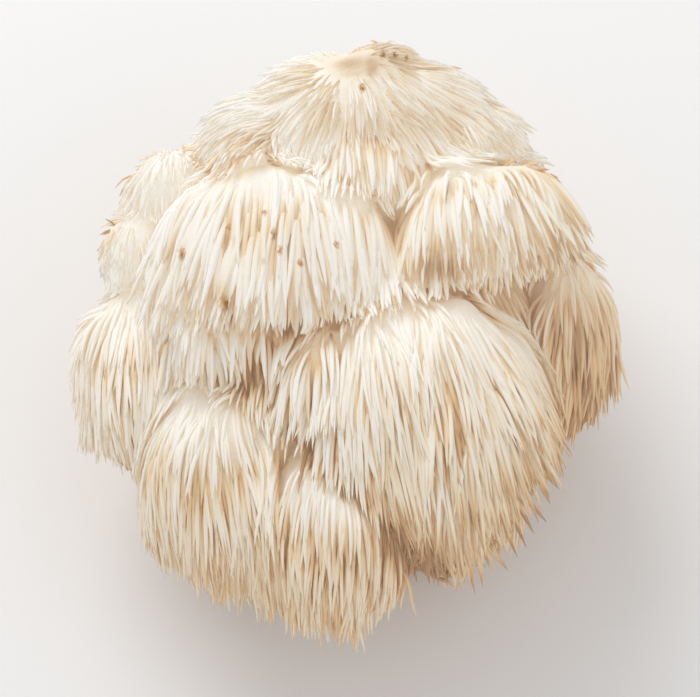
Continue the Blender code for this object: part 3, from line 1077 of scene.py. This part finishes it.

# %% [markdown]
# ## How tan and shaded each point is
#
# All the causes, the painted shade among them, are added up along each path, and the points of
# the cone take what their place on the path has. At the tips of the belly's free spines the tan
# comes back.

# %% How tan and shaded each point is


def tanned_and_shaded(which, shape_points):
    """How tan and shaded each point of these spines is: lower in the coat, more painted shade."""
    # Painted shade: the closer a spine lies to the flesh, the tanner, away from its crest.
    low = 0.62 - 0.27 * over[which]
    away_from_crest = ease(run_shares[which], 0.12, 0.4)
    # Less painted shade on the flat lobes, and more towards the bottom, away from the light.
    shade_share = np.where(is_flat[which], 0.5, 1.0)[:, None]
    shade_share = shade_share * (0.8 + 0.5 * ease(-paths[which][..., 1], -20.0, 40.0))
    tan_and_shade = np.clip(low, 0.0, 1.0) * away_from_crest * shade_share + patched_tan_and_shade(paths[which])
    crevice_shade_here = np.where(is_flat[which], CREVICE_SHADE_FLAT, CREVICE_SHADE)[:, None]
    # Painted shade in crevices and in deep layers.
    tan_and_shade = tan_and_shade + crevice_shade[which] * crevice_shade_here * (1.0 - ease(over[which], 1.0, 4.0))
    tan_and_shade = tan_and_shade + deep_shade[which][:, None] * ease(shares, 0.3, 0.8)[None, :]
    tan_and_shade = tan_and_shade + free[which][:, None] * 0.3 * ease(shares, 0.6, 1.0)[None, :]
    tan_and_shade = tan_and_shade + streak[which][:, None]
    before, part = knots(shape_points)
    tan_and_shade = tan_and_shade[:, before] * (1 - part) + tan_and_shade[:, before + 1] * part
    tan_and_shade = tan_and_shade + back_tan[which][:, None]
    return np.clip(tan_and_shade, 0.0, 1.0)


sample = tanned_and_shaded(np.arange(0, number, 50), long_spine[0])
print("mean tan of every fiftieth spine:", round(float(sample.mean()), 2))

# %% [markdown]
# ## A painted glow
#
# Fresh spines let light in, and thin flat hair on top of the head glows most. Subsurface
# scattering would show that, but it is slow on so many thin spines. So a second number sets a
# painted glow, an emission that lifts the shade: most on the crown, some at every crest, more
# towards the top where the light falls, none behind.

# %% Painted glow
CREST_PAINTED_GLOW = 0.35
HEIGHT_PAINTED_GLOW = 0.55
# Flesh that faces further back than the first of these gets no painted glow.
PAINTED_GLOW_LEAN = (-0.2, 0.4)


def painted_glowing(places, thin, shares_here):
    """How strong the painted glow is here: most in the crown, at the crests and higher up."""
    crest_painted_glow = CREST_PAINTED_GLOW * (1.0 - ease(shares_here, 0.08, 0.4))
    # Higher up the painted glow is stronger: a painted highlight where the light falls.
    return np.where(thin, 1.0, HEIGHT_PAINTED_GLOW * ease(places[..., 1], -30.0, 45.0) + crest_painted_glow)


half_way = STEPS // 2
painted_glow = painted_glowing(paths[:, half_way], is_flat, run_shares[:, half_way])
painted_glow = painted_glow * ease(normal[:, 2], *PAINTED_GLOW_LEAN) * ~hidden
print("mean glow:", round(float(painted_glow.mean()), 2))

# %% [markdown]
# ## Join the copies
#
# One mesh for each spine would be thousands of objects, and one mesh for all would be slow to
# handle. So the head is parted into seven meshes: the crown, the left and the right, each above
# and below, and two at the back. Their faces are written from arrays, because joining thousands
# of objects takes minutes.

# %% Join the copies


def carry(mesh, label, values):
    """Lets every point of a mesh carry a number under this label."""
    carried = mesh.attributes.new(label, "FLOAT", "POINT")
    carried.data.foreach_set("value", values.astype(np.float32))


def spines_object(name, which, model):
    """One mesh of all the spines in this selection, with the numbers that each point carries."""
    shape_points, shape_faces = model
    total, per = len(which), len(shape_points)
    sizes = np.array([len(face) for face in shape_faces])
    corners = np.concatenate([np.array(face) for face in shape_faces])
    loops = (corners[None, :] + (np.arange(total) * per)[:, None]).ravel()
    starts = np.concatenate([[0], np.cumsum(np.tile(sizes, total))[:-1]])
    mesh = bpy.data.meshes.new(name)
    mesh.vertices.add(total * per)
    mesh.vertices.foreach_set("co", bent(which, shape_points).ravel())
    mesh.loops.add(len(loops))
    mesh.loops.foreach_set("vertex_index", loops)
    mesh.polygons.add(total * len(sizes))
    mesh.polygons.foreach_set("loop_start", starts)
    mesh.update(calc_edges=True)
    mesh.validate()
    mesh.polygons.foreach_set("use_smooth", np.ones(len(mesh.polygons), bool))
    carry(mesh, "tint", np.repeat(tint[which], per))
    carry(mesh, "painted_glow", np.repeat(painted_glow[which], per))
    carry(mesh, "tan_and_shade", tanned_and_shaded(which, shape_points).ravel())
    made = bpy.data.objects.new(name, mesh)
    bpy.context.scene.collection.objects.link(made)
    mesh.calc_loop_triangles()
    print(name, "spines:", total, "triangles:", len(mesh.loop_triangles))
    return made


is_low = ~is_flat & ~hidden & (up <= 0)
is_tiered = ~is_flat & ~hidden & (up > 0)
is_left = across < -4
PARTS = (
    ("crown_spines", is_flat & ~hidden, short_spine),
    ("left_spines", is_tiered & is_left, long_spine),
    ("right_spines", is_tiered & ~is_left, long_spine),
    ("lower_left_spines", is_low & is_left, long_spine),
    ("lower_right_spines", is_low & ~is_left, long_spine),
    ("back_left_spines", hidden & is_left, short_spine),
    ("back_right_spines", hidden & ~is_left, short_spine),
)
spine_pieces = [spines_object(name, np.flatnonzero(here), model) for name, here, model in PARTS]

# %% [markdown]
# ## The numbers on the flesh
#
# The flesh carries the same two numbers as its spines, so that both have one colour where they
# meet. It is tanner close to the cut and on the mottled back. Tight valleys and lower lobes away
# from their crests get painted shade.

# %% The numbers on the flesh
# Painted shade on the flesh: below the crests, more on the lower lobes, and in tight valleys.
UPPER_SKIN_SHADE, LOWER_SKIN_SHADE = 0.05, 0.6
VALLEY_SHADE = 0.45
BACK_SKIN_TAN, BACK_SKIN_MOTTLE = 0.5, 0.2
CUT_TAN = 0.4
g_across, g_up, g_out = grown.T
is_upper = skin_owner < UPPER_ROWS
skin_share = from_crest / REACHES[skin_owner]
skin_tan_and_shade = ease(skin_share, 0.15, 0.4) * np.where(is_upper, UPPER_SKIN_SHADE, LOWER_SKIN_SHADE)
skin_mottle = np.sin(g_across / 2.6 + g_up / 4.0) * np.sin(g_up / 3.4 + g_out / 2.7)
mottled = BACK_SKIN_TAN + BACK_SKIN_MOTTLE * skin_mottle
skin_tan_and_shade = np.where(lean[:, 2] < BACK_LEAN, mottled, skin_tan_and_shade)
# Painted shade in tight valleys.
tight = 1.0 - ease(next_lobe(grown), 1.0, 7.0)
skin_tan_and_shade = skin_tan_and_shade + tight * np.where(is_upper, 0.0, VALLEY_SHADE)
skin_tan_and_shade = skin_tan_and_shade + patched_tan_and_shade(grown) + CUT_TAN * (1.0 - ease(floor_height, 2.0, 16.0))
skin_painted_glow = painted_glowing(grown, thin_skin, skin_share) * ease(lean[:, 2], *PAINTED_GLOW_LEAN)
carry(flesh.data, "tan_and_shade", np.clip(skin_tan_and_shade, 0.0, 1.0))
carry(flesh.data, "painted_glow", skin_painted_glow)
print("mean tan of the flesh:", round(float(np.clip(skin_tan_and_shade, 0.0, 1.0).mean()), 2))

# %% [markdown]
# ## Small helpers for finishes
#
# A finish is a tree of nodes. Written out, each node takes one line to add it, one for each
# setting and one for each link. This helper does all of that in one call, so that the trees
# below read like a list of what they do.

# %% Helpers for finishes


def node(tree, kind, inputs, **settings):
    """Adds a node. Each input takes a plain value or the output of another node."""
    made = tree.nodes.new(kind)
    for key, value in settings.items():
        setattr(made, key, value)
    for socket, value in inputs.items():
        if isinstance(value, bpy.types.NodeSocket):
            tree.links.new(value, made.inputs[socket])
        else:
            made.inputs[socket].default_value = value
    return made


def math_node(tree, operation, first_value, second_value):
    """Result of one sum on two numbers."""
    inputs = {0: first_value, 1: second_value}
    return node(tree, "ShaderNodeMath", inputs, operation=operation).outputs["Value"]


def mixed(tree, share, colour, other, blend="MIX"):
    """One colour with a share of another mixed or multiplied in."""
    inputs = {"Factor": share, "A": colour, "B": other}
    made = node(tree, "ShaderNodeMix", inputs, data_type="RGBA", blend_type=blend)
    return made.outputs["Result"]


def scaled(tree, value, low, high):
    """A number from 0 to 1, moved to run from low to high."""
    inputs = {"Value": value, "To Min": low, "To Max": high}
    return node(tree, "ShaderNodeMapRange", inputs).outputs["Result"]


def ramp(tree, value, stops):
    """Colour that changes with a number, through these stops."""
    made = node(tree, "ShaderNodeValToRGB", {"Fac": value})
    band = made.color_ramp
    while len(band.elements) < len(stops):
        band.elements.new(0.5)
    for element, (position, colour) in zip(band.elements, stops):
        element.position = position
        element.color = (*colour, 1.0)
    return made.outputs["Color"]


def carried(tree, label):
    """The number that the mesh carries under this label."""
    return node(tree, "ShaderNodeAttribute", {}, attribute_name=label).outputs["Fac"]


# %% [markdown]
# ## Painted shade in small pits
#
# A few small brown pits dot the crown and the left tier: painted shade where the coat has small
# gaps. Both the spines and the flesh show them, so they are one node group that puts out a mask,
# and it is placed in both finishes. The group turns Object coordinates into across and up on the
# growing head, and measures how near a place is to each pit. A pit goes through spines and flesh
# alike that way. A little noise shakes the places first, which makes the rims uneven.

# %% The group for painted pit shade
# across, up, radius, in mm: pits of painted brown shade in the crown and the left tier
PITS = (
    (4.1, 70.4, 1.0), (9.7, 79.6, 1.1), (12.8, 79.8, 0.8), (16.0, 79.2, 0.8),
    (-19.0, 31.0, 1.0), (-17.3, 26.8, 1.1), (-12.0, 23.5, 1.0), (-21.5, 36.8, 0.7),
    (-2.5, 28.5, 0.8), (-43.4, 26.4, 1.4), (-31.8, 13.2, 1.7), (-31.0, 33.0, 0.7),
)
# The noise shakes a place by up to this much, in mm, and by half of it in the mean.
SHAKE = 2.4
SHAKE_SCALE = 900.0
# A pit is longer along the spines than across them, by this share.
PIT_SQUEEZE = 0.6
PIT_RIM, PIT_FLOOR = 0.95, 0.15


def across_and_up(tree, place):
    """The same place as two numbers, across and up on the growing head, in mm."""
    found = []
    for axis in (0, 1):
        inputs = {0: place, 1: [v / MM for v in TURN[:, axis]]}
        dot = node(tree, "ShaderNodeVectorMath", inputs, operation="DOT_PRODUCT")
        found.append(dot.outputs["Value"])
    found[1] = math_node(tree, "MULTIPLY", found[1], PIT_SQUEEZE)
    return node(tree, "ShaderNodeCombineXYZ", {"X": found[0], "Y": found[1]}).outputs["Vector"]


def pit_shade_mask(tree, flat_place, across, up, radius):
    """How deep in this pit a place is: 0 at its rim and 1 in its middle."""
    middle = np.array([across, up, 0.0]) + STAND @ TURN + np.array([SHAKE / 2, SHAKE / 2, 0.0])
    spot = (middle[0], middle[1] * PIT_SQUEEZE, 0.0)
    far = node(tree, "ShaderNodeVectorMath", {0: flat_place, 1: spot}, operation="DISTANCE")
    inputs = {"Value": far.outputs["Value"], "From Min": radius * PIT_RIM,
              "From Max": radius * PIT_FLOOR}
    return node(tree, "ShaderNodeMapRange", inputs).outputs["Result"]


def pit_shade_group():
    """Node group: how deep in a pit each place of an object is, for the painted pit shade."""
    group = bpy.data.node_groups.new("pit_shade", "ShaderNodeTree")
    group.interface.new_socket(name="Mask", in_out="OUTPUT", socket_type="NodeSocketFloat")
    here = node(group, "ShaderNodeTexCoord", {}).outputs["Object"]
    noise = node(group, "ShaderNodeTexNoise", {"Scale": SHAKE_SCALE, "Vector": here})
    inputs = {0: noise.outputs["Color"], 1: (SHAKE * MM,) * 3, 2: here}
    shaken = node(group, "ShaderNodeVectorMath", inputs, operation="MULTIPLY_ADD")
    flat_place = across_and_up(group, shaken.outputs["Vector"])
    masks = [pit_shade_mask(group, flat_place, *pit) for pit in PITS]
    deepest = masks[0]
    for mask in masks[1:]:
        deepest = math_node(group, "MAXIMUM", deepest, mask)
    node(group, "NodeGroupOutput", {"Mask": deepest})
    return group


PIT_SHADE_GROUP = pit_shade_group()
print("nodes in the group for pits:", len(PIT_SHADE_GROUP.nodes))

# %% [markdown]
# ## Painted glow and pit shade
#
# The last steps are the same for spines and flesh, so one function adds them to either tree.
# The pits' brown, painted shade, is mixed in. Then the carried glow feeds a weak emission, a
# painted glow which lifts the shade as light from inside would, and dims the colour a little, so
# that the lit side doesn't burn out. Pits and tan places get less of it. The emission's colour is
# the same all over, so it is set on the shader's own socket.

# %% Painted glow and pit shade
# Painted shade: the brown of the small pits in the coat.
PIT_SHADE_COLOUR = (0.78, 0.40, 0.13, 1.0)
# Painted glow: an emission that lifts the shade, and a dimming of the colour that goes with it.
PAINTED_GLOW_COLOUR = (1.0, 0.88, 0.73, 1.0)
PAINTED_GLOW_DIMMING = (0.72, 0.755, 0.80, 1.0)
PAINTED_GLOW_RANGE = (0.08, 0.32)
TAN_PAINTED_GLOW_SHARE = 0.65


def painted_glow_and_pit_shade(tree, surface, colour):
    """Feeds a colour to the shader, with the painted pit shade in it and a painted glow."""
    pit_shade = node(tree, "ShaderNodeGroup", {}, node_tree=PIT_SHADE_GROUP).outputs["Mask"]
    pit_shaded = mixed(tree, pit_shade, colour, PIT_SHADE_COLOUR)
    painted_glow_here = carried(tree, "painted_glow")
    painted_glow_share = math_node(tree, "SUBTRACT", 1.0, pit_shade)
    painted_glow_share = math_node(tree, "MULTIPLY", scaled(tree, painted_glow_here, *PAINTED_GLOW_RANGE), painted_glow_share)
    pale = scaled(tree, carried(tree, "tan_and_shade"), 1.0, TAN_PAINTED_GLOW_SHARE)
    strength = math_node(tree, "MULTIPLY", painted_glow_share, pale)
    tree.links.new(strength, surface.inputs["Emission Strength"])
    surface.inputs["Emission Color"].default_value = PAINTED_GLOW_COLOUR
    dimmed = mixed(tree, painted_glow_here, pit_shaded, PAINTED_GLOW_DIMMING, "MULTIPLY")
    tree.links.new(dimmed, surface.inputs["Base Color"])


def new_finish(name, roughness):
    """A material with this roughness, and its tree and its shader."""
    made = bpy.data.materials.new(name)
    made.use_nodes = True
    made.cycles.emission_sampling = "NONE"
    surface = made.node_tree.nodes["Principled BSDF"]
    surface.inputs["Roughness"].default_value = roughness
    surface.inputs["Specular IOR Level"].default_value = 0.3
    return made, made.node_tree, surface


# %% [markdown]
# ## Finish of the spines
#
# A fresh spine is soft and matt with a faint shine, and goes from cream to tan. Its honey brown
# end is painted shade deep in the coat. A ramp turns the carried tan and painted shade into that
# colour. A second ramp, fed by a number that differs from spine to spine, makes no two of them
# quite alike.

# %% Finish of the spines
# From cream to tan; the darker stops serve both the spines' tan and painted shade.
SPINE_COLOURS = (
    (0.0, (0.97, 0.95, 0.91)),
    (0.25, (0.95, 0.88, 0.77)),
    (0.5, (0.90, 0.74, 0.52)),
    (0.75, (0.83, 0.58, 0.33)),
    (1.0, (0.58, 0.35, 0.18)),
)
ODD_COLOURS = (
    (0.0, (0.97, 0.93, 0.85)),
    (0.4, (1.0, 0.99, 0.97)),
    (1.0, (1.0, 1.0, 1.0)),
)
spine_finish, tree, surface = new_finish("mushroom_spines", 0.55)
tan_and_shade_colour = ramp(tree, carried(tree, "tan_and_shade"), SPINE_COLOURS)
odd_colour = ramp(tree, carried(tree, "tint"), ODD_COLOURS)
painted_glow_and_pit_shade(tree, surface, mixed(tree, 1.0, tan_and_shade_colour, odd_colour, "MULTIPLY"))
for piece in spine_pieces:
    piece.data.materials.append(spine_finish)
print("nodes in the spines' finish:", len(tree.nodes))

# %% [markdown]
# ## Finish of the flesh
#
# Between the spines the flesh is smooth, with a fine grain like suede. Soft noise makes cloudy
# patches of cream, the carried tan and painted shade darkens them, and finer noise gives the grain
# as a bump. A grain in the mesh itself would take millions of faces, and it is too fine to be seen
# in the outline.

# %% Finish of the flesh
CLOUDS = (
    (0.3, (0.93, 0.86, 0.75)),
    (0.5, (0.96, 0.92, 0.84)),
    (0.7, (0.97, 0.95, 0.89)),
)
# Tan, and painted shade in valleys and under the spines.
FLESH_TAN_AND_SHADE = (
    (0.0, (1.0, 1.0, 1.0)),
    (0.5, (0.94, 0.80, 0.62)),
    (1.0, (0.66, 0.42, 0.22)),
)
flesh_finish, tree, surface = new_finish("mushroom_flesh", 0.6)
here = node(tree, "ShaderNodeTexCoord", {}).outputs["Object"]
clouds = node(tree, "ShaderNodeTexNoise", {"Scale": 90.0, "Detail": 4.0, "Vector": here})
grain = node(tree, "ShaderNodeTexNoise", {"Scale": 600.0, "Detail": 5.0, "Vector": here})
inputs = {"Strength": 0.5, "Distance": 0.001, "Height": grain.outputs["Fac"]}
bump = node(tree, "ShaderNodeBump", inputs)
tree.links.new(bump.outputs["Normal"], surface.inputs["Normal"])
cloud_colour = ramp(tree, clouds.outputs["Fac"], CLOUDS)
tan_and_shade_colour = ramp(tree, carried(tree, "tan_and_shade"), FLESH_TAN_AND_SHADE)
painted_glow_and_pit_shade(tree, surface, mixed(tree, 1.0, cloud_colour, tan_and_shade_colour, "MULTIPLY"))
flesh.data.materials.append(flesh_finish)
print("nodes in the flesh's finish:", len(tree.nodes))

# %% [markdown]
# ## Join them to the frame
#
# The whole mushroom is one piece that nothing moves, so every mesh rides on the same body. The
# flesh stands in for the plain solid.

# %% Join them to the frame
for piece in [flesh, *spine_pieces]:
    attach(piece, "root")
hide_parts("fruiting_body")
print("pieces on the body:", 1 + len(spine_pieces))

# %% [markdown]
# ## The floor
#
# A pale matt plane, wide enough that its edge stays out of sight. It isn't part of the object.

# %% The floor
FLOOR_SIZE = 6.0
bpy.ops.object.select_all(action="DESELECT")
bpy.ops.mesh.primitive_plane_add(size=FLOOR_SIZE, location=(0, 0, 0))
floor = bpy.context.active_object
floor.name = "floor"
floor_finish = bpy.data.materials.new("floor_look")
floor_finish.use_nodes = True
floor_surface = floor_finish.node_tree.nodes["Principled BSDF"]
floor_surface.inputs["Base Color"].default_value = (0.97, 0.97, 0.97, 1)
floor_surface.inputs["Roughness"].default_value = 0.9
floor.data.materials.append(floor_finish)
print("floor, in m:", FLOOR_SIZE)

# %% [markdown]
# ## The light
#
# White food is shown best in soft light with a little direction. One big lamp at the upper left
# draws the lobes, a weaker one at the right softens their shade, and a white world fills in the
# rest. A single hard lamp would break the coat up into bright tips and black gaps. The plain
# view transform keeps the cream of the spines as it is.

# %% The light
AIM = (0.0, 0.0, 0.055)
LAMP_SIZE = 0.8
WORLD_STRENGTH = 0.6


def lamp(name, place, power):
    """A round soft lamp that looks at the middle of the head."""
    data = bpy.data.lights.new(name, "AREA")
    data.shape = "DISK"
    data.size = LAMP_SIZE
    data.energy = power
    made = bpy.data.objects.new(name, data)
    bpy.context.scene.collection.objects.link(made)
    made.location = place
    made.rotation_euler = (Vector(AIM) - Vector(place)).to_track_quat("-Z", "Y").to_euler()
    return made


lamps = [lamp("key", (-0.40, 0.66, 0.80), 5.0), lamp("fill", (0.6, -0.5, 0.7), 1.0)]
world = bpy.data.worlds.new("studio")
world.use_nodes = True
world.node_tree.nodes["Background"].inputs["Color"].default_value = (1.0, 1.0, 1.0, 1.0)
world.node_tree.nodes["Background"].inputs["Strength"].default_value = WORLD_STRENGTH
bpy.context.scene.world = world
bpy.context.scene.view_settings.view_transform = "Standard"
print("lamps, in W:", [made.data.energy for made in lamps])

# %% [markdown]
# ## The camera
#
# The camera looks down on the head along the line that the growing head has for out. A long
# lens from about a metre away keeps the lobes at the edge from turning aside, as in a picture
# of food that is taken from some way off.

# %% The camera
LENS = 180.0
SENSOR = 36.0
# What fills the picture's width, and the share of it that it fills, and a step back, in metres.
HEAD_SPAN = 0.168
FILLED = 0.92
STEP_BACK = 0.05
look = Vector((0.0, -math.cos(LIE_BACK), math.sin(LIE_BACK)))
far_away = HEAD_SPAN / FILLED * LENS / SENSOR + STEP_BACK
eye = bpy.data.cameras.new("eye")
eye.lens = LENS
eye.sensor_width = SENSOR
eye_object = bpy.data.objects.new("eye", eye)
bpy.context.scene.collection.objects.link(eye_object)
eye_object.location = Vector(AIM) + look * far_away
eye_object.rotation_euler = (-look).to_track_quat("-Z", "Y").to_euler()
bpy.context.scene.camera = eye_object
print("eye to middle, in mm:", round(far_away / MM, 1))
